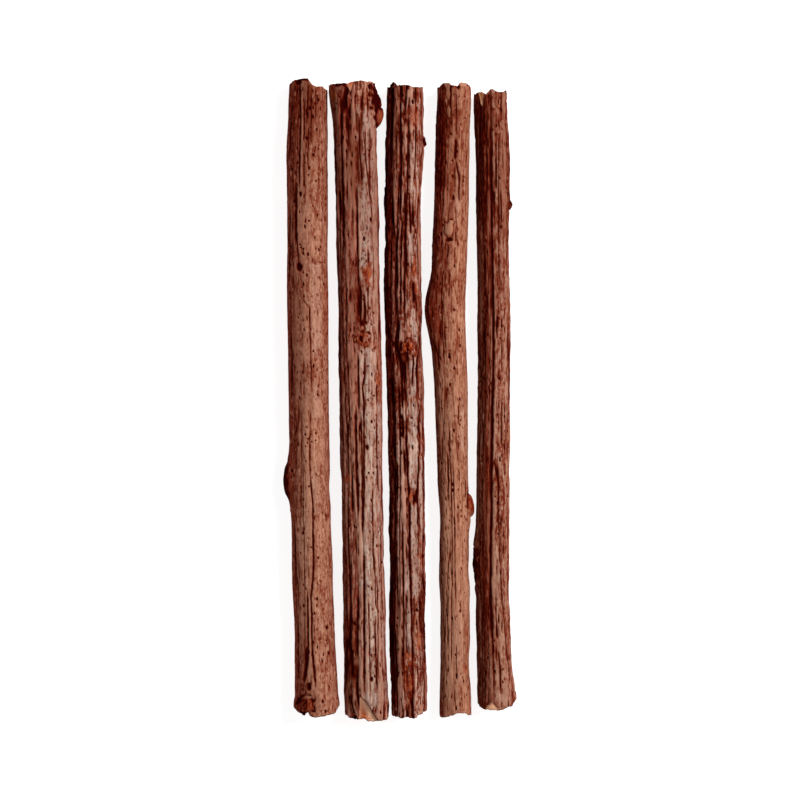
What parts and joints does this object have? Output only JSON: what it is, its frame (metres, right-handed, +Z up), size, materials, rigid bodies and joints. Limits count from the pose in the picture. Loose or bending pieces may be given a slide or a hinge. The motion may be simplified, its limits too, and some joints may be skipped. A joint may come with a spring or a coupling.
{
  "type": "bundle of twigs",
  "caption": "Loose bundle of short dry twigs with rough, fissured brown bark and cut ends, lying side by side on a surface.",
  "frame": {"origin": "on the supporting surface, under the middle of the bundle's box", "axes": "+Y along the twigs towards the end where the second twig has its branch stub, +X across them, +Z up from the surface"},
  "size_m": [0.054, 0.1506, 0.0101],
  "materials": {
    "tan_bark": "dry, matt, finely lined tan bark with small pores",
    "grey_ridged_bark": "dry, matt bark with deep lengthwise fissures, weathered grey on its ridges",
    "dark_ridged_bark": "dry, matt, dark bark with strong ridges, weathered grey in strips",
    "brown_bark": "dry, matt, dark brown bark with one long crack"
  },
  "bodies": {
    "root": {"twig_1": "tan_bark", "twig_2": "grey_ridged_bark", "twig_3": "dark_ridged_bark", "twig_4": "tan_bark", "twig_5": "brown_bark"}
  },
  "joints": []
}
